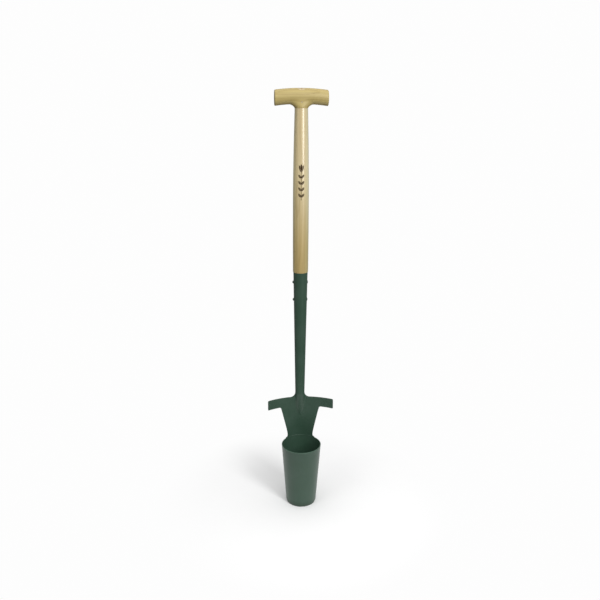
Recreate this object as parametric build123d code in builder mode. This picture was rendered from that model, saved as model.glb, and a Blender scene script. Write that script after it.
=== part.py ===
"""Long-handled bulb planter: a rolled conical cutter welded under a dished tread blade, a slotted
tapered socket that straddles the blade, an ash shaft riveted in the socket, and a wedged and pinned
T-grip on top.

Row frame, millimetres: +Z up, origin at the centre of the cutting edge, the cutter's axis is Z.
The user's side (front) is -Y; the shaft stands behind the cutter, at y = SHAFT_Y.
"""

from build123d import *
import math
import os

os.makedirs("parts", exist_ok=True)

# ------------------------------------------------------------------ driving dimensions
OVERALL = 980.0  # cutting edge to the top of the grip

# cutter: an open cone, wide end up
SHEET = 2.0  # blade and cutter sheet
CUT_H = 151.2  # height of the cutter
CUT_R_TOP = 47.3  # outer radius at the rim
CUT_R_BEVEL = 36.5  # outer radius where the ground bevel starts
CUT_BEVEL_H = 5.0  # height of the ground bevel
CUT_R_EDGE = 35.1  # outer radius of the flat left on the cutting edge

# tread blade
SHAFT_Y = CUT_R_TOP - SHEET / 2  # the blade's middle line is on the shaft's axis
NECK_HALF = 30.9
NECK_Z = 159.0
NECK_FILLET = 20.0
ROOT_HALF = 47.2  # half width of the blade where it meets the treads
TREAD_BOTTOM_Z = 230.2
TREAD_TOP_Z = 254.2
TREAD_HALF = 79.0  # half of the width over both treads
TREAD_R = 151.0  # radius that the treads are dished to
WEB_TOP_Z = 266.6
WEB_R = 12.4
BLADE_TOP_Z = 264.6

# socket
SOCKET_TOP_Z = 569.0
SOCKET_LOW_Z = 268.6
SOCKET_R_TOP = 16.7
SOCKET_R_LOW = 11.3
SOCKET_WALL = 1.8
TAIL_END_Z = 209.0

# shaft
SHAFT_FOOT_Z = 398.0
SHAFT_R = 18.0  # the parallel stretch that a tool clip grips
SHAFT_NECK_R = 14.75  # under the grip
TENON_R = 11.0
FIT = 0.04  # radial room that keeps driven and drilled fits from overlapping

# grip
GRIP_HALF = 59.1
GRIP_H = 16.9  # half height of the arms
GRIP_D = 16.0  # half depth of the arms
GRIP_LOW_Z = 937.5
GRIP_ARCH_R = 423.5  # radius of the arms' middle line, which droops towards its ends
GRIP_MID_Z = OVERALL - GRIP_H

# fasteners
RIVET_Z = (545.2, 503.1)
RIVET_R = 2.4
HEAD_R, HEAD_RIM, HEAD_RISE = 3.4, 0.9, 1.9  # radius, side and dome of the formed head
TAIL_R, TAIL_RIM, TAIL_RISE = 4.0, 0.2, 1.0  # the same for the peened end
PIN_Z = 950.2
PIN_R = 1.4

# welds
SEAM_HALF = 0.7


def socket_r(z):
    """Outer radius of the socket at height z."""
    return SOCKET_R_LOW + (SOCKET_R_TOP - SOCKET_R_LOW) * (z - SOCKET_LOW_Z) / (
        SOCKET_TOP_Z - SOCKET_LOW_Z
    )


# The socket's tail, pressed flat over both faces of the blade: height, half width, half depth.
TAIL = (
    (SOCKET_LOW_Z, SOCKET_R_LOW, SOCKET_R_LOW),
    (257.0, 11.2, 9.6),
    (244.0, 9.8, 6.9),
    (231.0, 7.6, 4.5),
    (219.5, 4.9, 2.7),
    (TAIL_END_Z, 2.2, 1.35),
)


def blade_r(z):
    """Radius of the blade's middle surface at height z: the cutter's own at the neck, flatter at the treads."""
    t = min(1.0, max(0.0, (z - CUT_H) / (TREAD_BOTTOM_Z - 4.5 - CUT_H)))
    s = t * t * (3 - 2 * t)
    k = (1 - s) / SHAFT_Y + s / TREAD_R
    return 1 / k


def cut_in(z):
    """Inner radius of the cutter at height z."""
    slope = (CUT_R_TOP - CUT_R_BEVEL) / (CUT_H - CUT_BEVEL_H)
    return CUT_R_BEVEL - SHEET + (z - CUT_BEVEL_H) * slope


def upright(y, z):
    """A plane facing the front, with local x along X and local y along Z."""
    return Plane(origin=(0, y, z), x_dir=(1, 0, 0), z_dir=(0, -1, 0))


AXIS_SHAFT = Axis((0, SHAFT_Y, 0), (0, 0, 1))


# ------------------------------------------------------------------ weld between cutter and blade
# Full-penetration ring segment: a crown outside, a smaller one inside, a web through the sheet.
WELD_ANGLE = math.degrees(math.asin(34.2 / SHAFT_Y))
with BuildPart() as blade_cutter_weld:
    with BuildSketch(Plane.YZ) as weld_profile:
        with Locations((CUT_R_TOP - 0.1, CUT_H)):
            Ellipse(0.9, 1.9)
        with Locations((CUT_R_TOP - SHEET + 0.05, CUT_H)):
            Ellipse(0.4, 1.1)
        with Locations((CUT_R_TOP - SHEET / 2, CUT_H)):
            Rectangle(SHEET, 0.9)
    revolve(axis=Axis.Z, revolution_arc=WELD_ANGLE)
    mirror(about=Plane.YZ)

# ------------------------------------------------------------------ cutter
with BuildPart() as cutter_seam_weld:
    # Runs up the back of the cone, from just above the bevel into the ring weld.
    seam_low, seam_high = CUT_BEVEL_H + 1.0, CUT_H - 0.6
    for z in (seam_low, seam_high):
        outer = cut_in(z) + SHEET
        with BuildSketch(Plane.XY.offset(z)):
            with BuildLine():
                Polyline(
                    (-SEAM_HALF, cut_in(z) - 0.15),
                    (SEAM_HALF, cut_in(z) - 0.15),
                    (SEAM_HALF, outer - 0.3),
                    (2.0, outer - 0.3),
                    (1.3, outer + 0.45),
                    (0, outer + 0.75),
                    (-1.3, outer + 0.45),
                    (-2.0, outer - 0.3),
                    (-SEAM_HALF, outer - 0.3),
                    close=True,
                )
            make_face()
    loft(ruled=True)
    add(blade_cutter_weld.part, mode=Mode.SUBTRACT)

with BuildPart() as cutter:
    with BuildSketch(Plane.XZ):
        with BuildLine():
            Polyline(
                (cut_in(0), 0),
                (CUT_R_EDGE, 0),
                (CUT_R_BEVEL, CUT_BEVEL_H),
                (CUT_R_TOP, CUT_H),
                (CUT_R_TOP - SHEET, CUT_H),
                close=True,
            )
        make_face()
    revolve(axis=Axis.Z)
    rim = cutter.edges().filter_by(GeomType.CIRCLE).group_by(Axis.Z)[-1]
    fillet(rim, radius=0.45)
    add(cutter_seam_weld.part, mode=Mode.SUBTRACT)
    add(blade_cutter_weld.part, mode=Mode.SUBTRACT)

# ------------------------------------------------------------------ tread blade
with BuildPart() as tread_blade:
    # Dished sheet, lofted from the cutter's curve up to the treads' flatter one.
    levels = [CUT_H, 162, 175, 188, 201, 214, TREAD_BOTTOM_Z - 4.5]
    for z in levels:
        r = blade_r(z)
        half = 40 + (z - CUT_H) * 0.17
        centre_y = SHAFT_Y - r
        a = math.asin(half / r)
        ro, ri = r + SHEET / 2, r - SHEET / 2
        with BuildSketch(Plane.XY.offset(z)):
            with BuildLine():
                o1 = (-ro * math.sin(a), centre_y + ro * math.cos(a))
                o2 = (ro * math.sin(a), centre_y + ro * math.cos(a))
                i1 = (-ri * math.sin(a), centre_y + ri * math.cos(a))
                i2 = (ri * math.sin(a), centre_y + ri * math.cos(a))
                ThreePointArc(o1, (0, centre_y + ro), o2)
                Line(o2, i2)
                ThreePointArc(i2, (0, centre_y + ri), i1)
                Line(i1, o1)
            make_face()
    loft()
    # Treads and shoulders: one constant curve.
    with BuildSketch(Plane.XY.offset(TREAD_BOTTOM_Z - 4.5)):
        centre_y = SHAFT_Y - TREAD_R
        a = math.asin(84 / TREAD_R)
        ro, ri = TREAD_R + SHEET / 2, TREAD_R - SHEET / 2
        with BuildLine():
            o1 = (-ro * math.sin(a), centre_y + ro * math.cos(a))
            o2 = (ro * math.sin(a), centre_y + ro * math.cos(a))
            i1 = (-ri * math.sin(a), centre_y + ri * math.cos(a))
            i2 = (ri * math.sin(a), centre_y + ri * math.cos(a))
            ThreePointArc(o1, (0, centre_y + ro), o2)
            Line(o2, i2)
            ThreePointArc(i2, (0, centre_y + ri), i1)
            Line(i1, o1)
        make_face()
    extrude(amount=WEB_TOP_Z + 6 - (TREAD_BOTTOM_Z - 4.5))
    # Outline of the blank, seen from the front.
    with BuildSketch(upright(SHAFT_Y, 0)) as outline:
        with BuildLine():
            web_x = socket_r(WEB_TOP_Z)
            neck_low_x = (
                NECK_HALF
                + NECK_FILLET
                - math.sqrt(NECK_FILLET**2 - (NECK_Z - CUT_H) ** 2)
            )
            Line((0, BLADE_TOP_Z), (web_x - 0.6, BLADE_TOP_Z))
            Line((web_x - 0.6, BLADE_TOP_Z), (web_x - 0.6, WEB_TOP_Z))
            Line((web_x - 0.6, WEB_TOP_Z), (web_x, WEB_TOP_Z))
            ThreePointArc(
                (web_x, WEB_TOP_Z),
                (
                    web_x + WEB_R * (1 - math.cos(math.radians(45))),
                    WEB_TOP_Z - WEB_R * math.sin(math.radians(45)),
                ),
                (web_x + WEB_R, TREAD_TOP_Z),
            )
            Line((web_x + WEB_R, TREAD_TOP_Z), (TREAD_HALF, TREAD_TOP_Z))
            Line((TREAD_HALF, TREAD_TOP_Z), (TREAD_HALF, TREAD_BOTTOM_Z))
            Line((TREAD_HALF, TREAD_BOTTOM_Z), (ROOT_HALF, TREAD_BOTTOM_Z))
            Bezier(
                (ROOT_HALF, TREAD_BOTTOM_Z),
                (ROOT_HALF - 7.6, TREAD_BOTTOM_Z - 30.8),
                (NECK_HALF, NECK_Z + 9.5),
                (NECK_HALF, NECK_Z),
            )
            ThreePointArc(
                (NECK_HALF, NECK_Z),
                (
                    NECK_HALF
                    + NECK_FILLET
                    - math.sqrt(NECK_FILLET**2 - ((NECK_Z - CUT_H) / 2) ** 2),
                    (NECK_Z + CUT_H) / 2,
                ),
                (neck_low_x, CUT_H),
            )
            Line((neck_low_x, CUT_H), (0, CUT_H))
            Line((0, CUT_H), (0, BLADE_TOP_Z))
        make_face()
        corners = outline.vertices().filter_by(
            lambda v: abs(v.X - TREAD_HALF) < 1e-6
        )
        fillet(corners, radius=2.2)
        root = outline.vertices().filter_by(
            lambda v: abs(v.X - ROOT_HALF) < 1e-6
            and abs(v.Z + v.Y - TREAD_BOTTOM_Z) < 1e-6
        )
        if root:
            fillet(root, radius=4.5)
        mirror(about=Plane.YZ)
    extrude(amount=60, both=True, mode=Mode.INTERSECT)
    add(blade_cutter_weld.part, mode=Mode.SUBTRACT)

# ------------------------------------------------------------------ socket
with BuildPart() as socket_seam_weld:
    low, high = SOCKET_LOW_Z + 4, SOCKET_TOP_Z - 0.5
    for z in (low, high):
        ro = socket_r(z)
        ri = ro - SOCKET_WALL
        with BuildSketch(Plane.XY.offset(z)):
            with BuildLine():
                Polyline(
                    (-SEAM_HALF, SHAFT_Y + ri + 0.1),
                    (SEAM_HALF, SHAFT_Y + ri + 0.1),
                    (SEAM_HALF, SHAFT_Y + ro - 0.3),
                    (1.7, SHAFT_Y + ro - 0.3),
                    (1.1, SHAFT_Y + ro + 0.3),
                    (0, SHAFT_Y + ro + 0.5),
                    (-1.1, SHAFT_Y + ro + 0.3),
                    (-1.7, SHAFT_Y + ro - 0.3),
                    (-SEAM_HALF, SHAFT_Y + ro - 0.3),
                    close=True,
                )
            make_face()
    loft(ruled=True)

with BuildPart() as socket_form:
    with BuildSketch(upright(SHAFT_Y, 0)):
        with BuildLine():
            Polyline(
                (0, SOCKET_LOW_Z),
                (SOCKET_R_LOW, SOCKET_LOW_Z),
                (SOCKET_R_TOP, SOCKET_TOP_Z),
                (0, SOCKET_TOP_Z),
                close=True,
            )
        make_face()
    revolve(axis=AXIS_SHAFT)
    # Tail: the tube is flattened until it fades into the blade.
    for z, a, b in TAIL:
        with BuildSketch(Plane((0, SHAFT_Y, z))):
            Ellipse(a, b)
    loft()

with BuildPart() as socket:
    add(socket_form.part)
    # Bore, and the pocket that closes where the tail is pressed flat.
    with BuildSketch(upright(SHAFT_Y, 0)):
        with BuildLine():
            Polyline(
                (0, SOCKET_LOW_Z),
                (SOCKET_R_LOW - SOCKET_WALL, SOCKET_LOW_Z),
                (SOCKET_R_TOP - SOCKET_WALL, SOCKET_TOP_Z),
                (0, SOCKET_TOP_Z),
                close=True,
            )
        make_face()
    revolve(axis=AXIS_SHAFT, mode=Mode.SUBTRACT)
    for z, a, b in (
        (SOCKET_LOW_Z, SOCKET_R_LOW - SOCKET_WALL, SOCKET_R_LOW - SOCKET_WALL),
        (257.0, 9.4, 7.7),
        (245.0, 7.6, 4.6),
    ):
        with BuildSketch(Plane((0, SHAFT_Y, z))):
            Ellipse(a, b)
    loft(mode=Mode.SUBTRACT)
    mouth = socket.edges().filter_by(GeomType.CIRCLE).group_by(Axis.Z)[-1]
    fillet(mouth, radius=0.4)
    add(tread_blade.part, mode=Mode.SUBTRACT)
    add(socket_seam_weld.part, mode=Mode.SUBTRACT)
    for z in RIVET_Z:
        with BuildSketch(Plane((0, SHAFT_Y, z), x_dir=(0, 1, 0), z_dir=(1, 0, 0))):
            Circle(RIVET_R + FIT)
        extrude(amount=40, both=True, mode=Mode.SUBTRACT)

# ------------------------------------------------------------------ welds between socket and blade
# A flat fillet bead runs round the tail on each face of the blade.
tail_welds = []
for face in (-1, 1):
    with BuildPart() as tail_weld:
        for z, a, b in (
            (258.5, 12.0, 2.0),
            (253.5, 13.9, 3.4),
            (244.0, 13.0, 3.4),
            (231.0, 10.7, 3.1),
            (219.5, 7.9, 2.6),
            (TAIL_END_Z, 5.0, 2.0),
            (TAIL_END_Z - 3.5, 2.6, 1.4),
        ):
            with BuildSketch(Plane((0, SHAFT_Y, z))):
                Ellipse(a, b)
        loft()
        add(socket_form.part, mode=Mode.SUBTRACT)
        add(tread_blade.part, mode=Mode.SUBTRACT)
        # keep only what lies on this face of the sheet
        with BuildSketch(Plane.XY.offset(190)):
            with BuildLine():
                sheet_y = SHAFT_Y - 0.35
                Polyline(
                    (-18, sheet_y - 0.9),
                    (0, sheet_y),
                    (18, sheet_y - 0.9),
                    (18, sheet_y + face * 20),
                    (-18, sheet_y + face * 20),
                    close=True,
                )
            make_face()
        extrude(amount=80, mode=Mode.INTERSECT)
    tail_welds.append(tail_weld.part)

# ------------------------------------------------------------------ grip, as its outer form first
with BuildPart() as grip_form:
    arch_z = GRIP_MID_Z - GRIP_ARCH_R
    with BuildSketch(
        Plane(origin=(0, SHAFT_Y, GRIP_MID_Z), x_dir=(0, 1, 0), z_dir=(1, 0, 0))
    ):
        Ellipse(GRIP_D, GRIP_H)
    revolve(axis=Axis((0, SHAFT_Y, arch_z), (0, 1, 0)), revolution_arc=9.0)
    mirror(about=Plane.YZ)
    with BuildSketch(upright(SHAFT_Y, OVERALL - 20)):
        Rectangle(2 * GRIP_HALF, 90)
    extrude(amount=30, both=True, mode=Mode.INTERSECT)
    ends = grip_form.faces().filter_by(Axis.X)
    fillet(ends.edges(), radius=2.0)
    # Boss: flares sideways into the arms, flush with them front and back.
    for z, a, b in (
        (GRIP_LOW_Z, SHAFT_NECK_R, SHAFT_NECK_R),
        (GRIP_LOW_Z + 2.2, 16.0, 14.9),
        (GRIP_LOW_Z + 4.6, 18.6, 15.0),
        (GRIP_LOW_Z + 7.2, 22.6, 15.0),
        (GRIP_LOW_Z + 11.0, 28.0, 15.0),
        (GRIP_MID_Z, 32.0, 15.0),
    ):
        with BuildSketch(Plane((0, SHAFT_Y, z))):
            Ellipse(a, b)
    loft()
    hollows = grip_form.edges().filter_by(
        lambda e: e.geom_type != GeomType.CIRCLE
        and e.length > 5
        and GRIP_LOW_Z + 3 < e.center().Z < GRIP_MID_Z + 12
        and abs(e.center().X) < 50
    )
    fillet(hollows, radius=8.0)

with BuildPart() as grip_wedge:
    # Thin at its foot, driven across the tenon so that it spreads along the grip's grain.
    with BuildSketch(upright(SHAFT_Y, 0)):
        with BuildLine():
            Polyline(
                (-0.5, 954.0), (0.5, 954.0), (1.8, 982.0), (-1.8, 982.0), close=True
            )
        make_face()
    extrude(amount=14, both=True)
    with BuildSketch(Plane((0, SHAFT_Y, 950.0))):
        Circle(TENON_R - 0.15)
    extrude(amount=40, mode=Mode.INTERSECT)
    add(grip_form.part, mode=Mode.INTERSECT)

with BuildPart() as t_grip:
    add(grip_form.part)
    with BuildSketch(Plane((0, SHAFT_Y, GRIP_LOW_Z - 5))):
        Circle(TENON_R + FIT)
    extrude(amount=60, mode=Mode.SUBTRACT)
    with BuildSketch(upright(SHAFT_Y, PIN_Z)):
        Circle(PIN_R + FIT)
    extrude(amount=30, mode=Mode.SUBTRACT)
    with BuildSketch(upright(SHAFT_Y, PIN_Z)):
        Circle(PIN_R + FIT)
    extrude(amount=-14.0, mode=Mode.SUBTRACT)

with BuildPart() as grip_pin:
    # Headless steel pin, driven in from the front just below the surface.
    with BuildSketch(upright(SHAFT_Y, PIN_Z)):
        Circle(PIN_R)
    extrude(amount=14.6)
    with BuildSketch(upright(SHAFT_Y, PIN_Z)):
        Circle(PIN_R)
    extrude(amount=-13.8)
    front_end = grip_pin.faces().sort_by(Axis.Y)[0]
    chamfer(front_end.edges(), length=0.3)

# ------------------------------------------------------------------ shaft
with BuildPart() as shaft:
    # Tenon, finished flush with the grip's top.
    with BuildSketch(Plane((0, SHAFT_Y, GRIP_LOW_Z))):
        Circle(TENON_R)
    extrude(amount=60)
    add(grip_form.part, mode=Mode.INTERSECT)
    foot_r = socket_r(SHAFT_FOOT_Z) - SOCKET_WALL - FIT
    mouth_r = SOCKET_R_TOP - SOCKET_WALL - FIT
    with BuildSketch(upright(SHAFT_Y, 0)):
        with BuildLine():
            Polyline(
                (0, SHAFT_FOOT_Z),
                (foot_r - 2.5, SHAFT_FOOT_Z),
                (foot_r + 0.05, SHAFT_FOOT_Z + 3.0),
                (mouth_r, SOCKET_TOP_Z + FIT),
                (16.8, SOCKET_TOP_Z + FIT),
                (17.6, SOCKET_TOP_Z + 0.9),
            )
            Spline(
                (17.6, SOCKET_TOP_Z + 0.9),
                (17.82, 597.0),
                (SHAFT_R, 642.0),
                tangents=[(0.02, 1.0), (0, 1)],
            )
            Line((SHAFT_R, 642.0), (SHAFT_R, 743.0))
            Spline(
                (SHAFT_R, 743.0),
                (17.8, 780.0),
                (17.3, 812.0),
                (16.6, 856.0),
                (15.65, 900.0),
                (SHAFT_NECK_R, GRIP_LOW_Z - FIT),
                tangents=[(0, 1), (-0.02, 1.0)],
            )
            Polyline(
                (SHAFT_NECK_R, GRIP_LOW_Z - FIT),
                (0, GRIP_LOW_Z - FIT),
                (0, SHAFT_FOOT_Z),
            )
        make_face()
    revolve(axis=AXIS_SHAFT)
    # join body and tenon across the small gap left under the boss
    with BuildSketch(Plane((0, SHAFT_Y, GRIP_LOW_Z - 1))):
        Circle(TENON_R)
    extrude(amount=2)
    add(grip_wedge.part, mode=Mode.SUBTRACT)
    with BuildSketch(upright(SHAFT_Y, PIN_Z)):
        Circle(PIN_R + FIT)
    extrude(amount=20, both=True, mode=Mode.SUBTRACT)
    for z in RIVET_Z:
        with BuildSketch(Plane((0, SHAFT_Y, z), x_dir=(0, 1, 0), z_dir=(1, 0, 0))):
            Circle(RIVET_R + FIT)
        extrude(amount=40, both=True, mode=Mode.SUBTRACT)

# ------------------------------------------------------------------ rivets
# Round head on the left, tail peened to a low dome on the right; both bed on the socket's curve.
rivets = []
for z in RIVET_Z:
    r_here = socket_r(z)
    with BuildPart() as rivet:
        for side, base, edge_r, rise in (
            (-1, r_here + HEAD_RIM, HEAD_R, HEAD_RISE),
            (1, r_here + TAIL_RIM, TAIL_R, TAIL_RISE),
        ):
            dome_r = (rise**2 + edge_r**2) / (2 * rise)
            half_turn = math.asin(edge_r / dome_r) / 2
            middle = (
                base + rise - dome_r * (1 - math.cos(half_turn)),
                dome_r * math.sin(half_turn),
            )
            with BuildSketch(upright(SHAFT_Y, z)):
                with BuildLine():
                    Polyline(
                        (side * (base + rise), 0),
                        (side * (r_here - 1.2), 0),
                        (side * (r_here - 1.2), edge_r),
                        (side * base, edge_r),
                    )
                    ThreePointArc(
                        (side * base, edge_r),
                        (side * middle[0], middle[1]),
                        (side * (base + rise), 0),
                    )
                make_face()
            revolve(axis=Axis((0, SHAFT_Y, z), (1, 0, 0)))
        # bed both heads on the tapered tube
        with BuildSketch(upright(SHAFT_Y, 0)):
            with BuildLine():
                Polyline(
                    (0, z - 12),
                    (socket_r(z - 12), z - 12),
                    (socket_r(z + 12), z + 12),
                    (0, z + 12),
                    close=True,
                )
            make_face()
        revolve(axis=AXIS_SHAFT, mode=Mode.SUBTRACT)
        with BuildSketch(
            Plane((-(r_here + 0.2), SHAFT_Y, z), x_dir=(0, 1, 0), z_dir=(1, 0, 0))
        ):
            Circle(RIVET_R)
        extrude(amount=2 * r_here + 0.4)
    rivets.append(rivet.part)

# ------------------------------------------------------------------ export
t_grip.part.label = "t_grip"
grip_wedge.part.label = "grip_wedge"
grip_pin.part.label = "grip_pin"
shaft.part.label = "shaft"
socket.part.label = "socket"
socket_seam_weld.part.label = "socket_seam_weld"
tread_blade.part.label = "tread_blade"
blade_cutter_weld.part.label = "blade_cutter_weld"
cutter.part.label = "cutter"
cutter_seam_weld.part.label = "cutter_seam_weld"
tail_welds[0].label = "front_tail_weld"
tail_welds[1].label = "back_tail_weld"
rivets[0].label = "upper_rivet"
rivets[1].label = "lower_rivet"

for piece in (
    t_grip.part,
    grip_wedge.part,
    grip_pin.part,
    shaft.part,
    socket.part,
    socket_seam_weld.part,
    tail_welds[0],
    tail_welds[1],
    tread_blade.part,
    blade_cutter_weld.part,
    cutter.part,
    cutter_seam_weld.part,
    rivets[0],
    rivets[1],
):
    export_step(piece, "parts/" + piece.label + ".step")
    print(piece.label, len(piece.solids()), round(piece.volume, 1))
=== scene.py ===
import math

import bpy
import numpy as np
from mathutils import Matrix, Vector
from mathutils.bvhtree import BVHTree


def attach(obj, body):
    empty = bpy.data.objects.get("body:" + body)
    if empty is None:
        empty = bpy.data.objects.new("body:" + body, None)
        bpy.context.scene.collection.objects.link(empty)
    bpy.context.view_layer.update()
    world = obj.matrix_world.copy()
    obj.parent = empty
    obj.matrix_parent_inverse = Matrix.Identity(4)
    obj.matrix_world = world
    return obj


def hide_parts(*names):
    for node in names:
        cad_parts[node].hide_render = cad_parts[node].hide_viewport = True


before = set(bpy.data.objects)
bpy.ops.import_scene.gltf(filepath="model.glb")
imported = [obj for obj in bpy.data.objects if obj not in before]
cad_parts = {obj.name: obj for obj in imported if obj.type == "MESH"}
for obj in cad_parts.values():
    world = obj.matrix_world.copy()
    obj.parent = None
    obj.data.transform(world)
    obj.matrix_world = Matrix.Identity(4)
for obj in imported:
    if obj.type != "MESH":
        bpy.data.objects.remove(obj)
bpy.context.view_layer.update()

MM = 0.001
SHAFT_Y = 0.0463  # the shaft's axis stands behind the cutter's, which is the Z axis
SCENE = bpy.context.scene

# ------------------------------------------------------------------ camera
CAM_DIST, CAM_H = 1.5113, 0.9397
CAM_YAW, CAM_PITCH, CAM_ROLL = math.radians(5.0), math.radians(15.32), math.radians(0.3)
CAM_LENS = 40.04
CAM_PP = (300.4, 289.9)  # where the lens axis meets the 600 x 600 frame


def make_camera():
    fwd_h = Vector((math.sin(CAM_YAW), math.cos(CAM_YAW), 0))
    loc = Vector((0, SHAFT_Y, CAM_H)) - fwd_h * CAM_DIST
    fwd = fwd_h * math.cos(CAM_PITCH) + Vector((0, 0, -math.sin(CAM_PITCH)))
    right = Vector((math.cos(CAM_YAW), -math.sin(CAM_YAW), 0))
    up = right.cross(fwd)
    rot = Matrix((right, up, -fwd)).transposed()
    rot = rot @ Matrix.Rotation(CAM_ROLL, 3, "Z")
    data = bpy.data.cameras.new("camera")
    data.sensor_width = 36
    data.lens = CAM_LENS
    data.shift_x = (300.0 - CAM_PP[0]) / 600.0
    data.shift_y = (CAM_PP[1] - 300.0) / 600.0
    data.clip_start, data.clip_end = 0.05, 50
    cam = bpy.data.objects.new("camera", data)
    SCENE.collection.objects.link(cam)
    cam.matrix_world = Matrix.Translation(loc) @ rot.to_4x4()
    SCENE.camera = cam


# ------------------------------------------------------------------ shader helper
class Tree:
    """Lays shader nodes and hands back their output sockets. A value is a number, a tuple or a socket."""

    def __init__(self, owner):
        owner.use_nodes = True
        self.owner = owner
        self.nodes = owner.node_tree.nodes
        self.links = owner.node_tree.links
        self.nodes.clear()

    def put(self, socket, value):
        if isinstance(value, bpy.types.NodeSocket):
            self.links.new(value, socket)
        elif value is not None:
            socket.default_value = value

    def node(self, kind, **settings):
        n = self.nodes.new(kind)
        n.location = (220 * (len(self.nodes) % 14), -260 * (len(self.nodes) // 14))
        for key, value in settings.items():
            setattr(n, key, value)
        return n

    def math(self, op, a, b=None, c=None, clamp=False):
        n = self.node("ShaderNodeMath", operation=op, use_clamp=clamp)
        for socket, value in zip(n.inputs, (a, b, c)):
            self.put(socket, value)
        return n.outputs[0]

    def add(self, a, b):
        return self.math("ADD", a, b)

    def sub(self, a, b):
        return self.math("SUBTRACT", a, b)

    def mul(self, a, b):
        return self.math("MULTIPLY", a, b)

    def vec(self, op, a, b=None):
        n = self.node("ShaderNodeVectorMath", operation=op)
        self.put(n.inputs[0], a)
        self.put(n.inputs[1], b)
        return n.outputs["Value" if op in ("LENGTH", "DOT_PRODUCT") else "Vector"]

    def split(self, v):
        n = self.node("ShaderNodeSeparateXYZ")
        self.put(n.inputs[0], v)
        return n.outputs[0], n.outputs[1], n.outputs[2]

    def join(self, x, y, z):
        n = self.node("ShaderNodeCombineXYZ")
        for socket, value in zip(n.inputs, (x, y, z)):
            self.put(socket, value)
        return n.outputs[0]

    def where(self):
        return self.node("ShaderNodeTexCoord").outputs["Object"]

    def noise(self, v, scale=1.0, detail=2.0, rough=0.5, distortion=0.0):
        n = self.node("ShaderNodeTexNoise", noise_dimensions="3D")
        self.put(n.inputs["Vector"], v)
        for key, value in (("Scale", scale), ("Detail", detail), ("Roughness", rough), ("Distortion", distortion)):
            self.put(n.inputs[key], value)
        return n.outputs[0]

    def random(self, value):
        n = self.node("ShaderNodeTexWhiteNoise", noise_dimensions="1D")
        self.put(n.inputs["W"], value)
        return n.outputs["Value"]

    def smooth(self, value, low, high, to_low=0.0, to_high=1.0):
        n = self.node("ShaderNodeMapRange", interpolation_type="SMOOTHSTEP")
        for socket, v in zip(n.inputs, (value, low, high, to_low, to_high)):
            self.put(socket, v)
        return n.outputs[0]

    def ramp(self, fac, stops):
        n = self.node("ShaderNodeValToRGB")
        e = n.color_ramp.elements
        while len(e) < len(stops):
            e.new(0.5)
        for element, (place, colour) in zip(e, stops):
            element.position = place
            element.color = (*colour, 1) if isinstance(colour, tuple) else (colour, colour, colour, 1)
        self.put(n.inputs[0], fac)
        return n.outputs[0]

    def mix(self, fac, a, b, blend="MIX"):
        n = self.node("ShaderNodeMix", data_type="RGBA", blend_type=blend)
        self.put(n.inputs[0], fac)
        self.put(n.inputs[6], (*a, 1) if isinstance(a, tuple) else a)
        self.put(n.inputs[7], (*b, 1) if isinstance(b, tuple) else b)
        return n.outputs[2]

    def bump(self, height, distance, normal=None):
        n = self.node("ShaderNodeBump")
        self.put(n.inputs["Strength"], 1.0)
        self.put(n.inputs["Distance"], distance)
        self.put(n.inputs["Height"], height)
        self.put(n.inputs["Normal"], normal)
        return n.outputs[0]

    def principled(self, colour, roughness, normal, **fixed):
        n = self.node("ShaderNodeBsdfPrincipled")
        self.put(n.inputs["Base Color"], colour)
        self.put(n.inputs["Roughness"], roughness)
        self.put(n.inputs["Normal"], normal)
        for key, value in fixed.items():
            self.put(n.inputs[key.replace("_", " ")], value)
        out = self.node("ShaderNodeOutputMaterial")
        self.links.new(n.outputs[0], out.inputs["Surface"])
        return self.owner


def material(name):
    return Tree(bpy.data.materials.new(name))


# ------------------------------------------------------------------ ash wood
def sprig_mask(t, u, v):
    """A small botanical ornament burnt into the shaft: a stem with four pairs of leaves and a bud.
    u runs round the shaft and v up it, both in millimetres, v from the ornament's foot."""

    def leaf(a, b, half_length, half_width):
        r = (half_length**2 + half_width**2) / (2 * half_width)
        side = t.add(t.math("ABSOLUTE", b), r - half_width)
        return t.sub(t.math("SQRT", t.add(t.mul(a, a), t.mul(side, side))), r)

    def turned(pu, pv, cu, cv, degrees):
        s, c = math.sin(math.radians(degrees)), math.cos(math.radians(degrees))
        du, dv = t.sub(pu, cu), t.sub(pv, cv)
        return t.add(t.mul(du, s), t.mul(dv, c)), t.sub(t.mul(du, c), t.mul(dv, s))

    mirrored = t.math("ABSOLUTE", u)
    cell = t.math("MODULO", t.sub(v, 4.0), 14.0)
    a, b = turned(mirrored, cell, 3.5, 6.3, 37.0)
    leaves = leaf(a, b, 5.6, 2.3)
    midrib = t.sub(0.22, t.math("ABSOLUTE", b))
    leaves = t.math("MAXIMUM", leaves, midrib)
    outside = t.math("MAXIMUM", t.sub(4.0, v), t.sub(v, 60.0))
    leaves = t.math("MAXIMUM", leaves, outside)
    stem = t.math("MAXIMUM", t.sub(mirrored, 0.55), t.math("MAXIMUM", t.sub(0.0, v), t.sub(v, 65.0)))
    bud = leaf(t.sub(v, 71.5), u, 8.6, 2.6)
    a, b = turned(mirrored, v, 3.1, 69.6, 17.0)
    petal = t.math("MAXIMUM", leaf(a, b, 8.2, 2.0), t.sub(0.5, bud))
    shape = t.math("MINIMUM", t.math("MINIMUM", leaves, stem), t.math("MINIMUM", bud, petal))
    return shape


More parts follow.
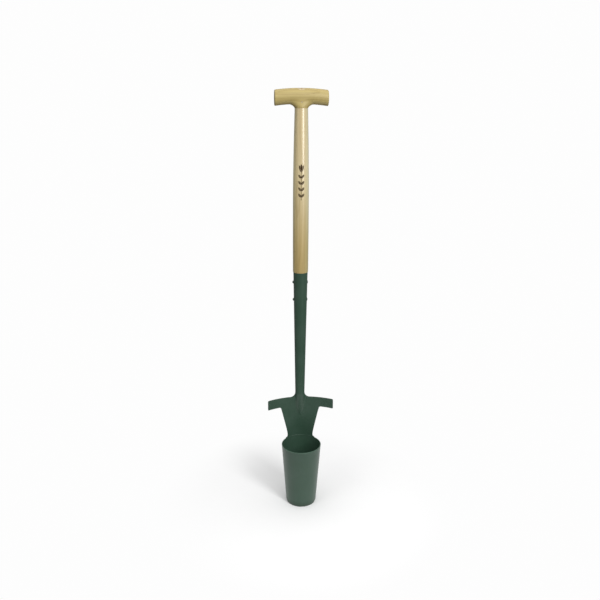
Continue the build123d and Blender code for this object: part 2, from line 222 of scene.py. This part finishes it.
def ash(name, origin, along, pith, tilt, light, dark, pore, rough=0.36, shade=None, mark=False, lacquer=0.15, side_sheen=None):
    """Ring-porous wood in three dimensions: growth rings about a pith, pores in their early bands, and fibres.
    The same pattern shows long figure on the sides and rings with dots on the end grain."""
    t = material(name)
    x, y, z = t.split(t.vec("SUBTRACT", t.where(), origin))
    u, v, w = {"z": (x, y, z), "x": (y, z, x), "y": (z, x, y)}[along]
    # slow wander of the fibres
    slow = t.noise(t.join(t.mul(u, 14.0), t.mul(v, 14.0), t.mul(w, 3.2)), 1.0, 2.0, 0.5)
    slow_2 = t.noise(t.join(t.mul(u, 60.0), t.mul(v, 60.0), t.add(t.mul(w, 9.0), 7.0)), 1.0, 2.0, 0.5)
    du, dv = t.sub(u, pith[0]), t.sub(v, pith[1])
    radius = t.math("SQRT", t.add(t.mul(du, du), t.mul(dv, dv)))
    radius = t.add(radius, t.mul(t.sub(slow, 0.5), 0.016))
    radius = t.add(radius, t.mul(t.sub(slow_2, 0.5), 0.0022))
    radius = t.add(radius, t.mul(w, tilt))
    count = t.math("DIVIDE", radius, 0.0031)
    ring = t.math("FRACT", count)
    each = t.random(t.math("FLOOR", count))
    early = t.ramp(ring, [(0.0, 0.75), (0.05, 1.0), (0.2, 0.72), (0.42, 0.16), (0.9, 0.0), (1.0, 0.2)])
    early = t.mul(early, t.add(0.65, t.mul(each, 0.5)))
    # pores: fine vessels, long along the fibres
    vessel = t.noise(t.join(t.mul(u, 2300.0), t.mul(v, 2300.0), t.mul(w, 110.0)), 1.0, 1.0, 0.5)
    pores = t.mul(t.smooth(vessel, 0.58, 0.70), t.smooth(early, 0.35, 0.85))
    scattered = t.mul(t.smooth(t.noise(t.join(t.mul(u, 3100.0), t.mul(v, 3100.0), t.mul(w, 240.0)), 1.0, 1.0, 0.5), 0.67, 0.76), 0.35)
    pores = t.math("MAXIMUM", pores, scattered)
    # fibres and broad streaks
    fibre = t.noise(t.join(t.mul(u, 1300.0), t.mul(v, 1300.0), t.mul(w, 16.0)), 1.0, 3.0, 0.6)
    streak = t.noise(t.join(t.mul(u, 170.0), t.mul(v, 170.0), t.mul(w, 3.0)), 1.0, 3.0, 0.55)
    cloud = t.noise(t.join(t.mul(u, 30.0), t.mul(v, 30.0), t.mul(w, 7.0)), 1.0, 2.0, 0.5)
    colour = t.mix(t.mul(early, 0.62), light, dark)
    colour = t.mix(t.mul(t.smooth(each, 0.0, 1.0), 0.22), colour, dark)
    colour = t.mix(t.mul(pores, 0.55), colour, pore)
    value = t.add(t.add(1.0, t.mul(t.sub(fibre, 0.5), 0.20)), t.add(t.mul(t.sub(streak, 0.5), 0.34), t.mul(t.sub(cloud, 0.5), 0.20)))
    warm = t.smooth(t.noise(t.join(t.mul(u, 90.0), t.mul(v, 90.0), t.add(t.mul(w, 2.2), 31.0)), 1.0, 2.0, 0.5), 0.35, 0.7)
    colour = t.mix(t.mul(warm, 0.5), colour, t.mix(1.0, colour, (1.03, 0.95, 0.83), "MULTIPLY"))
    colour = t.mix(1.0, colour, t.join(value, value, value), "MULTIPLY")
    if shade:
        low, high, tint = shade
        height = t.split(t.where())[2]
        edge = t.add(height, t.mul(t.sub(streak, 0.5), 0.10))
        colour = t.mix(t.smooth(edge, high, low), colour, t.mix(1.0, colour, tint, "MULTIPLY"))
    if side_sheen:  # painted sheen: paler, cooler strips along the left and right sides stand in for light grazing the sides
        for sign, (start, end, tint) in zip((-1.0, 1.0), side_sheen):
            side = t.add(t.mul(u, sign), t.mul(t.sub(streak, 0.5), 0.006))
            colour = t.mix(t.smooth(side, start, end), colour, t.mix(1.0, colour, tint, "MULTIPLY"))
    # end grain takes the finish in and turns darker and duller
    normal = t.node("ShaderNodeNewGeometry").outputs["Normal"]
    nx, ny, nz = t.split(normal)
    end = t.smooth(t.math("ABSOLUTE", {"z": nz, "x": nx, "y": ny}[along]), 0.80, 0.98)
    colour = t.mix(t.mul(end, 0.85), colour, t.mix(1.0, colour, (0.56, 0.51, 0.37), "MULTIPLY"))
    roughness = t.add(rough, t.mul(t.sub(fibre, 0.5), 0.10))
    roughness = t.add(roughness, t.add(t.mul(pores, 0.18), t.mul(end, 0.20)))
    height = t.add(t.mul(pores, -1.0), t.mul(t.sub(fibre, 0.5), 0.30))
    normal = t.bump(height, 0.00006)
    coat_weight = t.mul(t.sub(1.0, t.mul(end, 0.85)), lacquer)
    gloss = 0.5
    if mark:
        turn = t.math("ARCTAN2", t.add(x, 0.0009), t.mul(y, -1.0))
        shape = sprig_mask(t, t.mul(turn, 18.0), t.mul(t.sub(z, 0.7385), 1000.0))
        ragged = t.add(shape, t.mul(t.sub(t.noise(t.where(), 900.0, 3.0, 0.6), 0.5), 0.55))
        burnt = t.smooth(ragged, 0.22, -0.22)
        scorch = t.smooth(shape, 0.9, -0.1)
        colour = t.mix(t.mul(scorch, 0.28), colour, (0.20, 0.125, 0.05))
        char = t.mix(t.noise(t.where(), 1500.0, 2.0, 0.5), (0.014, 0.006, 0.001), (0.050, 0.023, 0.004))
        colour = t.mix(t.mul(burnt, 0.98), colour, char)
        roughness = t.add(roughness, t.mul(burnt, 0.22))
        normal = t.bump(t.mul(burnt, -1.0), 0.00012, normal)
        coat_weight = t.mul(coat_weight, t.sub(1.0, t.mul(burnt, 0.9)))
        gloss = t.sub(0.5, t.mul(burnt, 0.38))
    return t.principled(colour, roughness, normal, Specular_IOR_Level=gloss, Coat_Weight=coat_weight, Coat_Roughness=0.30)


# ------------------------------------------------------------------ powder coat
def powder_coat(name, base, rough=0.36):
    """Dark green powder coat on steel: slow unevenness of the film, orange peel, and the powder's own fine grain."""
    t = material(name)
    p = t.where()
    cloud = t.noise(p, 22.0, 3.0, 0.55)
    peel = t.noise(p, 520.0, 2.0, 0.5)
    grain = t.noise(p, 2600.0, 1.0, 0.5)
    value = t.add(1.0, t.add(t.mul(t.sub(cloud, 0.5), 0.34), t.add(t.mul(t.sub(peel, 0.5), 0.14), t.mul(t.sub(grain, 0.5), 0.30))))
    colour = t.mix(t.smooth(cloud, 0.35, 0.68), tuple(c * k for c, k in zip(base, (0.96, 1.0, 0.97))), tuple(c * k for c, k in zip(base, (1.06, 1.01, 1.04))))
    colour = t.mix(1.0, colour, t.join(value, value, value), "MULTIPLY")
    # painted highlight: round the outer edge at the cutter's top, up to the blade, a lighter band stands in for light
    # caught by that edge
    x, y, z = t.split(p)
    out = t.math("SQRT", t.add(t.mul(x, x), t.mul(y, y)))
    rim_highlight = t.mul(t.mul(t.smooth(z, 0.1488, 0.1500), t.smooth(z, 0.1530, 0.1520)), t.mul(t.smooth(out, 0.0458, 0.0466), t.smooth(y, 0.031, 0.026)))
    colour = t.mix(rim_highlight, colour, t.mix(1.0, colour, (1.42, 1.38, 1.42), "MULTIPLY"))
    # darker towards the cutting edge: full below about 3.5 mm, fading out by 15 mm, with a ragged upper limit
    foot = t.add(t.split(p)[2], t.mul(t.sub(t.noise(p, 260.0, 2.0, 0.5), 0.5), 0.0012))
    colour = t.mix(t.smooth(foot, 0.0150, 0.0035), colour, t.mix(1.0, colour, (0.66, 0.70, 0.64), "MULTIPLY"))
    # a few lighter specks where the powder lies thin
    speck = t.smooth(t.noise(p, 1500.0, 0.0, 0.5), 0.80, 0.86)
    colour = t.mix(t.mul(speck, 0.35), colour, (0.16, 0.20, 0.175))
    roughness = t.add(rough, t.add(t.mul(t.sub(cloud, 0.5), 0.10), t.mul(t.sub(grain, 0.5), 0.10)))
    normal = t.bump(peel, 0.000040)
    normal = t.bump(grain, 0.000005, normal)
    return t.principled(colour, roughness, normal, Specular_IOR_Level=0.5)


# ------------------------------------------------------------------ bare steel
def steel(name):
    """The sunk, chamfered end of a driven steel pin, dulled by handling."""
    t = material(name)
    p = t.where()
    dull = t.noise(p, 900.0, 4.0, 0.6)
    fine = t.noise(p, 5000.0, 2.0, 0.5)
    colour = t.mix(t.smooth(dull, 0.35, 0.7), (0.62, 0.55, 0.42), (0.40, 0.32, 0.20))
    roughness = t.add(0.42, t.mul(t.sub(dull, 0.5), 0.3))
    normal = t.bump(t.add(dull, t.mul(fine, 0.4)), 0.00002)
    return t.principled(colour, roughness, normal, Metallic=1.0)


# ------------------------------------------------------------------ stage and light
BACK = 0.985  # the pale ground, as the camera sees it
GLOW = 0.03  # the lit sheet that the tool stands on
SHEET = 0.38  # its radius
ROOM = {"right": 0.20, "left": 0.20, "rear": 0.34, "front": 0.14, "up": 1.34, "down": 0.0}  # soft light from each side
LAMPS = [
    ("key", (0.82, -1.33, 1.18), (0, 0.0463, 0.80), (0.44, 1.00), 18.2),
    ("top", (0.40, -1.25, 1.75), (0, 0.0463, 0.20), (0.70, 0.60), 6.0),
    ("fill", (-1.25, -0.95, 1.60), (0, 0.0463, 0.85), (0.70, 0.80), 4.4),
]


def link(name, data):
    o = bpy.data.objects.new(name, data)
    SCENE.collection.objects.link(o)
    return o


def disc(name, rings, turns=96):
    """A flat disc or ring about the tool's foot."""
    verts, faces = [], []
    for r in rings:
        if r == 0:
            verts.append((0, 0, 0))
        else:
            verts += [(r * math.cos(2 * math.pi * i / turns), r * math.sin(2 * math.pi * i / turns), 0) for i in range(turns)]
    start = 0
    if rings[0] == 0:
        faces += [(0, 1 + i, 1 + (i + 1) % turns) for i in range(turns)]
        start = 1
    for k in range(len(rings) - 1 - start):
        a, b = start + k * turns, start + (k + 1) * turns
        faces += [(a + i, b + i, b + (i + 1) % turns, a + (i + 1) % turns) for i in range(turns)]
    mesh = bpy.data.meshes.new(name)
    mesh.from_pydata(verts, [], faces)
    o = link(name, mesh)
    o.location = (0, 0, -0.0004)
    return o


def emission(t, strength):
    n = t.node("ShaderNodeEmission")
    n.inputs["Strength"].default_value = strength
    return n.outputs[0]


def make_stage():
    SCENE.view_settings.view_transform = "Standard"
    SCENE.view_settings.look = "None"
    # a lit sheet under the tool, which fades into the ground's own tone
    floor = disc("floor", [0.0, 0.1, 0.2, 0.3, SHEET])
    t = material("floor")
    away = t.vec("LENGTH", t.where())
    pale = t.noise(t.where(), 6.0, 3.0, 0.5)
    tone = t.add(0.82, t.mul(t.sub(pale, 0.5), 0.02))
    lit = t.node("ShaderNodeBsdfDiffuse")
    t.put(lit.inputs[0], t.join(tone, tone, tone))
    both = t.node("ShaderNodeAddShader")
    t.links.new(lit.outputs[0], both.inputs[0])
    t.links.new(emission(t, GLOW), both.inputs[1])
    blend = t.node("ShaderNodeMixShader")
    t.put(blend.inputs[0], t.smooth(away, 0.15, SHEET * 0.98))
    t.links.new(both.outputs[0], blend.inputs[1])
    t.links.new(emission(t, BACK), blend.inputs[2])
    out = t.node("ShaderNodeOutputMaterial")
    t.links.new(blend.outputs[0], out.inputs["Surface"])
    floor.data.materials.append(t.owner)
    # the ground beyond it, which lights nothing
    ground = disc("ground", [SHEET, 1.0, 2.0, 4.0, 9.0])
    ground.visible_diffuse = ground.visible_glossy = ground.visible_shadow = False
    ground.visible_transmission = ground.visible_volume_scatter = False
    t = material("ground")
    out = t.node("ShaderNodeOutputMaterial")
    t.links.new(emission(t, BACK), out.inputs["Surface"])
    ground.data.materials.append(t.owner)

    # the room: soft light of its own strength from each of six sides
    world = bpy.data.worlds.new("studio")
    SCENE.world = world
    t = Tree(world)
    x, y, z = t.split(t.node("ShaderNodeTexCoord").outputs["Generated"])
    total = None
    for axis, plus, minus in ((x, "right", "left"), (y, "rear", "front"), (z, "up", "down")):
        for sign, name in ((1.0, plus), (-1.0, minus)):
            side = t.math("MAXIMUM", t.mul(axis, sign), 0.0)
            part = t.mul(t.mul(side, side), ROOM[name])
            total = part if total is None else t.add(total, part)
    room = t.node("ShaderNodeBackground")
    t.put(room.inputs["Strength"], total)
    seen = t.node("ShaderNodeBackground")
    seen.inputs["Strength"].default_value = BACK
    for n in (room, seen):
        n.inputs["Color"].default_value = (1, 1, 1, 1)
    blend = t.node("ShaderNodeMixShader")
    t.put(blend.inputs[0], t.node("ShaderNodeLightPath").outputs["Is Camera Ray"])
    t.links.new(room.outputs[0], blend.inputs[1])
    t.links.new(seen.outputs[0], blend.inputs[2])
    out = t.node("ShaderNodeOutputWorld")
    t.links.new(blend.outputs[0], out.inputs["Surface"])


def make_lights():
    for name, at, aim, size, watts in LAMPS:
        data = bpy.data.lights.new(name, "AREA")
        data.shape = "RECTANGLE"
        data.size, data.size_y = size
        data.energy = watts
        lamp = link(name, data)
        lamp.location = at
        lamp.rotation_euler = (Vector(aim) - Vector(at)).to_track_quat("-Z", "Y").to_euler()


# ------------------------------------------------------------------ mesh work
def finish_mesh(name, verts, faces, node, smooth_angle=40.0):
    """A closed mesh in the row frame (metres) which stands for a CAD node."""
    mesh = bpy.data.meshes.new(name)
    mesh.from_pydata([tuple(v) for v in verts], [], [tuple(int(i) for i in f) for f in faces])
    mesh.validate()
    mesh.update()
    o = link(name, mesh)
    settle(o, node, smooth_angle)
    return o


def settle(o, node, smooth_angle=40.0):
    mesh = o.data
    mesh.polygons.foreach_set("use_smooth", [True] * len(mesh.polygons))
    mesh.set_sharp_from_angle(angle=math.radians(smooth_angle))
    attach(o, "root")
    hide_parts(node)


def surface_net(f, low, high, step):
    """The surface f = 0 as a quad mesh. f takes an array of points; all lengths in millimetres."""
    axes = [np.arange(a - step, b + 2 * step, step) for a, b in zip(low, high)]
    shape = tuple(len(a) for a in axes)
    grid = np.stack(np.meshgrid(*axes, indexing="ij"), -1)
    val = f(grid.reshape(-1, 3)).reshape(shape)
    # close cells whose corners meet only across a diagonal, so that every edge keeps two faces
    for _ in range(12):
        changed = 0
        for d in range(3):
            u, v = [k for k in range(3) if k != d]
            block = []
            for du, dv in ((0, 0), (1, 0), (0, 1), (1, 1)):
                part = [slice(None)] * 3
                part[u] = slice(1, None) if du else slice(0, -1)
                part[v] = slice(1, None) if dv else slice(0, -1)
                block.append(val[tuple(part)])
            a, b, c, e = [q < 0 for q in block]
            cross = (a == e) & (b == c) & (a != b)
            changed += int(cross.sum())
            block[0][cross & ~a] = -0.02
            block[1][cross & a] = -0.02
        if not changed:
            break
    inside = val < 0
    cells = tuple(n - 1 for n in shape)
    total = np.zeros(cells + (3,))
    count = np.zeros(cells)
    quads = []
    index = -np.ones(cells, int)
    edges = []
    for d in range(3):
        e, g = [slice(None)] * 3, [slice(None)] * 3
        e[d], g[d] = slice(0, -1), slice(1, None)
        a, b = val[tuple(e)], val[tuple(g)]
        cut = inside[tuple(e)] != inside[tuple(g)]
        ijk = np.argwhere(cut)
        t = a[cut] / (a[cut] - b[cut])
        p = grid[tuple(ijk.T)].copy()
        p[:, d] += t * step
        u, v = [k for k in range(3) if k != d]
        around = []
        for du, dv in ((0, 0), (-1, 0), (-1, -1), (0, -1)):
            c = ijk.copy()
            c[:, u] += du
            c[:, v] += dv
            around.append(c)
            np.add.at(total, tuple(c.T), p)
            np.add.at(count, tuple(c.T), 1)
        flip = inside[tuple(e)][cut]
        if d == 1:
            flip = ~flip
        edges.append((around, flip))
    used = count > 0
    index[used] = np.arange(used.sum())
    verts = total[used] / count[used][:, None]
    for around, flip in edges:
        q = np.stack([index[tuple(c.T)] for c in around], 1)
        q[~flip] = q[~flip][:, ::-1]
        quads.append(q)
    start = verts.copy()
    for _ in range(4):  # settle the points on the surface
        h = 0.02
        g = np.stack([(f(verts + h * np.eye(3)[k]) - f(verts - h * np.eye(3)[k])) / (2 * h) for k in range(3)], 1)
        move = g * (f(verts) / np.maximum((g * g).sum(1), 1e-2))[:, None] * 0.9
        verts = start + np.clip(verts - move - start, -0.45 * step, 0.45 * step)
    return verts, np.concatenate(quads)


def smooth_min(a, b, k):
    h = np.maximum(k - np.abs(a - b), 0) / k
    return np.minimum(a, b) - h * h * h * k / 6


# grip: arms on a drooping middle line, run into the boss above the shaft with one soft curve
GRIP_HALF, GRIP_H, GRIP_D = 59.1, 16.9, 16.0
GRIP_LOW, GRIP_MID, GRIP_ARCH = 937.5, 963.1, 423.5


def grip_field(p):
    x, y, z = p[:, 0], p[:, 1] - SHAFT_Y * 1000, p[:, 2]
    rho = np.sqrt(x**2 + (z - (GRIP_MID - GRIP_ARCH)) ** 2) - GRIP_ARCH
    k0 = np.sqrt((rho / GRIP_H) ** 2 + (y / GRIP_D) ** 2)
    k1 = np.sqrt((rho / GRIP_H**2) ** 2 + (y / GRIP_D**2) ** 2)
    arm = k0 * (k0 - 1) / np.maximum(k1, 1e-6)
    # ends, cut square and eased
    end = np.abs(x) - GRIP_HALF
    r = 2.4
    arm = np.minimum(np.maximum(arm + r, end + r), 0) + np.hypot(np.maximum(arm + r, 0), np.maximum(end + r, 0)) - r
    # boss: round where it sits on the shaft, flaring along the arms as it rises
    up = np.clip(z - GRIP_LOW, 0, 30)
    a = np.interp(up, BOSS[:, 0], BOSS[:, 1])
    b = np.interp(up, BOSS[:, 0], BOSS[:, 2])
    k0 = np.sqrt((x / a) ** 2 + (y / b) ** 2)
    k1 = np.sqrt((x / a**2) ** 2 + (y / b**2) ** 2)
    boss = k0 * (k0 - 1) / np.maximum(k1, 1e-6)
    boss = np.maximum(boss, z - (GRIP_MID + 2))
    f = smooth_min(arm, boss, 7.0)
    return np.maximum(f, GRIP_LOW - z)


def boss_table():
    up = np.linspace(0, 30, 121)
    a = np.interp(up, [0, 2.2, 4.6, 7.2, 11.0, 25.6, 30], [14.75, 15.9, 18.2, 21.8, 26.0, 29.0, 29.0])
    b = np.interp(up, [0, 2.2, 7.2, 12.0, 18.0, 25.6, 30], [14.75, 14.9, 14.95, 14.8, 14.2, 12.6, 12.0])
    kernel = np.hanning(15)
    kernel /= kernel.sum()
    pad = lambda v: np.convolve(np.pad(v, 7, mode="edge"), kernel, "valid")
    a2, b2 = pad(a), pad(b)
    fade = np.clip(up / 2.0, 0, 1)
    return np.stack([up, a * (1 - fade) + a2 * fade, b * (1 - fade) + b2 * fade], 1)


BOSS = boss_table()


def cut_round_hole(o, radius, at, direction, length, turns=96):
    """Takes a round hole out of a mesh."""
    z = Vector(direction).normalized()
    x = z.orthogonal().normalized()
    y = z.cross(x)
    ring = [x * (radius * math.cos(2 * math.pi * i / turns)) + y * (radius * math.sin(2 * math.pi * i / turns)) for i in range(turns)]
    verts = [Vector(at) - z * (length / 2) + v for v in ring] + [Vector(at) + z * (length / 2) + v for v in ring]
    faces = [(i, (i + 1) % turns, turns + (i + 1) % turns, turns + i) for i in range(turns)]
    faces += [tuple(range(turns - 1, -1, -1)), tuple(range(turns, 2 * turns))]
    mesh = bpy.data.meshes.new("drill")
    mesh.from_pydata(verts, [], faces)
    drill = link("drill", mesh)
    m = o.modifiers.new("hole", "BOOLEAN")
    m.operation, m.solver, m.object = "DIFFERENCE", "EXACT", drill
    bpy.context.view_layer.update()
    shaped = bpy.data.meshes.new_from_object(o.evaluated_get(bpy.context.evaluated_depsgraph_get()))
    o.modifiers.clear()
    o.data = shaped
    bpy.data.objects.remove(drill)


def make_grip():
    y = SHAFT_Y * 1000
    verts, quads = surface_net(grip_field, (-60, y - 18, 936), (60, y + 18, 981), 1.1)
    mesh = bpy.data.meshes.new("grip")
    mesh.from_pydata([tuple(v * MM) for v in verts], [], [tuple(int(i) for i in q) for q in quads])
    mesh.validate()
    o = link("grip_wood", mesh)
    cut_round_hole(o, 11.04 * MM, (0, SHAFT_Y, 0.96), (0, 0, 1), 0.08)
    cut_round_hole(o, 1.44 * MM, (0, SHAFT_Y - 0.0095, 0.9502), (0, 1, 0), 0.047, 32)
    settle(o, "t_grip", 38.0)
    return o


# welds
CUT_H, CUT_R_TOP, SHEET_T = 151.2, 47.3, 2.0


def ripple(run, across, seed):
    """Height of a weld bead's crescents, 0 to 1, from the distance run along it and the place across it."""
    rng = np.random.default_rng(seed)
    wander = sum(a * np.sin(run / p + q) for a, p, q in zip((0.5, 0.35, 0.22), (9.0, 4.1, 2.3), rng.uniform(0, 6.3, 3)))
    phase = (run + 0.45 * across**2 + 0.5 * wander) / 1.55
    f = phase - np.floor(phase)
    tooth = np.where(f < 0.72, f / 0.72, (1 - f) / 0.28)
    return 0.5 - 0.5 * np.cos(math.pi * tooth) + 0.18 * wander


def sweep(rings, name, node):
    """Closed mesh from a stack of equal rings of points (millimetres)."""
    n = len(rings[0])
    verts = [tuple(p * MM for p in q) for ring in rings for q in ring]
    faces = []
    for k in range(len(rings) - 1):
        a, b = k * n, (k + 1) * n
        faces += [(a + i, a + (i + 1) % n, b + (i + 1) % n, b + i) for i in range(n)]
    faces += [tuple(range(n - 1, -1, -1)), tuple(range(len(verts) - n, len(verts)))]
    o = finish_mesh(name, verts, faces, node, 50.0)
    return o


def seam(name, node, low, high, inner, outer, axis_y, half, crown, seed):
    """Bead up a rolled seam at the back: a core through the sheet with a rippled crown outside."""
    across = np.linspace(-1, 1, 13)
    rings = []
    for z in np.arange(low, high + 0.01, 0.4):
        end = min(1.0, (z - low) / 3.0, (high - z) / 3.0 + 0.35)
        fade = math.sqrt(max(0.0, 1 - (1 - end) ** 2))
        ri, ro = inner(z), outer(z)
        lift = ripple(np.full_like(across, z), across * half, seed)
        rise = -0.3 + (0.3 + crown * fade * (0.80 + 0.20 * lift)) * np.sqrt(np.maximum(0, 1 - across**2)) ** 1.3
        wide = half * (0.93 + 0.07 * math.sin(z * 0.9 + seed)) * (0.6 + 0.4 * fade)
        ring = [(-0.7, axis_y + ro - 0.31, z), (-0.7, axis_y + ri, z), (0.7, axis_y + ri, z), (0.7, axis_y + ro - 0.31, z)]
        ring += [(c * wide, axis_y + ro + h, z) for c, h in zip(across[::-1], rise[::-1])]
        rings.append(ring)
    return sweep(rings, name, node)


def make_ring_weld():
    turn_0 = math.asin(0.45 / 1.9)
    turn_1 = math.asin(0.45 / 1.1)
    outside = np.linspace(math.pi - turn_0, -(math.pi - turn_0), 27)
    inside = np.linspace(-turn_1, -(2 * math.pi - turn_1), 19)
    half_angle = math.asin(34.2 / 46.3)
    rings = []
    for w in np.linspace(-half_angle, half_angle, 220):
        run = w * CUT_R_TOP
        end = min(1.0, (half_angle - abs(w)) * CUT_R_TOP / 2.5)
        fade = 0.35 + 0.65 * math.sqrt(max(0.0, 1 - (1 - end) ** 2))
        ring = []
        for f, (cr, ar, az) in [(f, (47.2, 0.9, 1.9)) for f in outside] + [(f, (45.35, 0.4, 1.1)) for f in inside]:
            out = math.cos(f)
            dz = az * math.sin(f)
            dr = ar * out
            proud = (cr > 46 and out > 0) or (cr < 46 and out < 0)
            if proud:
                dr *= fade * (0.80 + 0.20 * float(ripple(np.array(run), np.array(dz), 5 if cr > 46 else 8)))
            r = cr + dr
            ring.append((r * math.sin(w), r * math.cos(w), CUT_H + dz))
        rings.append(ring[::-1])
    return sweep(rings, "ring_weld", "blade_cutter_weld")


def blade_radius(z):
    t = np.clip((z - CUT_H) / (225.7 - CUT_H), 0, 1)
    s = t * t * (3 - 2 * t)
    return 1 / ((1 - s) / 46.3 + s / 151.0)


def socket_sections():
    """Half width and half depth of the socket's tail, measured on the CAD piece level by level."""
    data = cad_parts["socket"].data
    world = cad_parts["socket"].matrix_world
    tree = BVHTree.FromPolygons([world @ v.co for v in data.vertices], [tuple(p.vertices) for p in data.polygons])
    z = np.arange(209.2, 292, 0.8)
    a, b = [], []
    for level in z:
        hit = tree.ray_cast(Vector((0, -0.1, level * MM)), Vector((0, 1, 0)))[0]
        depth = SHAFT_Y * 1000 - hit.y / MM
        b.append(depth)
        hit = tree.ray_cast(Vector((0.1, SHAFT_Y - 0.6 * depth * MM, level * MM)), Vector((-1, 0, 0)))[0]
        a.append(hit.x / MM / 0.8 if hit is not None and depth > 2.3 else np.nan)
    a, b = np.array(a), np.array(b)
    known = ~np.isnan(a)
    a = np.interp(z, np.concatenate([[209.0], z[known]]), np.concatenate([[2.2], a[known]]))
    z = np.concatenate([[202.0, 205.0], z])
    return z, np.concatenate([[0.3, 1.1], a]), np.concatenate([[0.4, 0.95], b])


def tail_fields():
    zs, za, zb = socket_sections()

    def parts(p, face):
        x, y, z = p[:, 0], p[:, 1] - SHAFT_Y * 1000, p[:, 2]
        a, b = np.interp(z, zs, za), np.interp(z, zs, zb)
        k0 = np.sqrt((x / a) ** 2 + (y / b) ** 2)
        k1 = np.sqrt((x / a**2) ** 2 + (y / b**2) ** 2)
        tube = k0 * (k0 - 1) / np.maximum(k1, 1e-6)
        r = blade_radius(z)
        away = np.hypot(x, y + r) - r  # behind the sheet's middle when positive
        slab = away * face - SHEET_T / 2
        side = np.abs(x)
        edge = np.where(z < 266.6, 12.4 - np.hypot(side - 23.7, z - 266.6), np.maximum(12.4 - np.abs(side - 23.7), z - 266.6))
        edge = np.where((side > 23.7) & (z < 266.6), z - 254.2, edge)
        top = np.maximum(slab, 0)
        sheet = np.where(edge > 0, np.hypot(top, edge), slab)
        return tube, sheet, away * face, edge

    def field(face, k, depth):
        def f(p):
            tube, sheet, away, edge = parts(p, face)
            t = np.clip((262.0 - p[:, 2]) / 14.0, 0, 1)
            u = np.clip((p[:, 2] - 200.5) / 25.0, 0, 1)
            both = np.minimum(tube, sheet)
            swell = (both - smooth_min(tube, sheet, k)) * t * t * (3 - 2 * t) * u * u * (3 - 2 * u)
            skin = both - swell + 0.10
            under = -both - depth
            near = (0.075 - swell) * 8
            ends = np.maximum(np.maximum(0.25 - away, p[:, 2] - 261.0), edge + 0.15)
            return np.maximum(np.maximum(skin, under), np.maximum(near, ends))
        return f

    return field


def make_tail_weld(name, node, face, fields):
    f = fields(face, 8.0, 0.95)
    y = SHAFT_Y * 1000
    low = (-21, y - 15, 200) if face < 0 else (-21, y - 3, 200)
    high = (21, y + 3, 264) if face < 0 else (21, y + 15, 264)
    verts, quads = surface_net(f, low, high, 0.46)
    o = finish_mesh(name, verts * MM, quads, node, 60.0)
    return o


def make_welds():
    slope = (CUT_R_TOP - 36.5) / (CUT_H - 5.0)
    cone = lambda z: 36.5 + (z - 5.0) * slope
    tube = lambda z: 11.3 + (16.7 - 11.3) * (z - 268.6) / (569.0 - 268.6)
    fields = tail_fields()
    return [
        make_ring_weld(),
        seam("cone_seam", "cutter_seam_weld", 6.0, 150.8, lambda z: cone(z) - SHEET_T - 0.15, cone, 0.0, 2.0, 0.75, 3),
        seam("tube_seam", "socket_seam_weld", 272.6, 568.5, lambda z: tube(z) - 1.7, tube, SHAFT_Y * 1000, 1.7, 0.5, 4),
        make_tail_weld("tail_fillet_front", "front_tail_weld", -1, fields),
        make_tail_weld("tail_fillet_back", "back_tail_weld", 1, fields),
    ]


# ------------------------------------------------------------------ the object
def coat(node, finish):
    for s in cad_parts[node].material_slots:
        s.material = finish


make_camera()
make_stage()
make_lights()

LIGHT, DARK, PORE = (0.62, 0.515, 0.300), (0.49, 0.385, 0.200), (0.27, 0.185, 0.085)
# the paler side strips given last are a painted sheen along the shaft's left and right sides
shaft_wood = ash("ash shaft", (0, SHAFT_Y, 0), "z", (0.031, 0.052), 0.010, LIGHT, DARK, PORE, 0.30,
                 shade=(0.59, 0.80, (0.72, 0.66, 0.47)), mark=True, lacquer=0.75,
                 side_sheen=((0.008, 0.015, (1.14, 1.18, 1.16)), (0.005, 0.014, (1.08, 1.20, 1.36))))
grip_wood = ash("ash grip", (0, SHAFT_Y, 0.963), "x", (0.048, -0.036), 0.02, tuple(c * k for c, k in zip(LIGHT, (0.75, 0.725, 0.48))), tuple(c * k for c, k in zip(DARK, (0.74, 0.70, 0.45))), PORE, 0.46, lacquer=0.0)
wedge_wood = ash("ash wedge", (0, SHAFT_Y, 0.96), "z", (0.02, 0.03), 0.0, (0.50, 0.36, 0.19), (0.36, 0.25, 0.12), PORE, 0.45)
green = powder_coat("green powder coat", (0.0345, 0.0730, 0.0485))
pin = steel("pin steel")

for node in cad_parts:
    coat(node, green)
coat("shaft", shaft_wood)
coat("t_grip", grip_wood)
coat("grip_wedge", wedge_wood)
coat("grip_pin", pin)

grip = make_grip()
grip.data.materials.append(grip_wood)
for weld in make_welds():
    weld.data.materials.append(green)
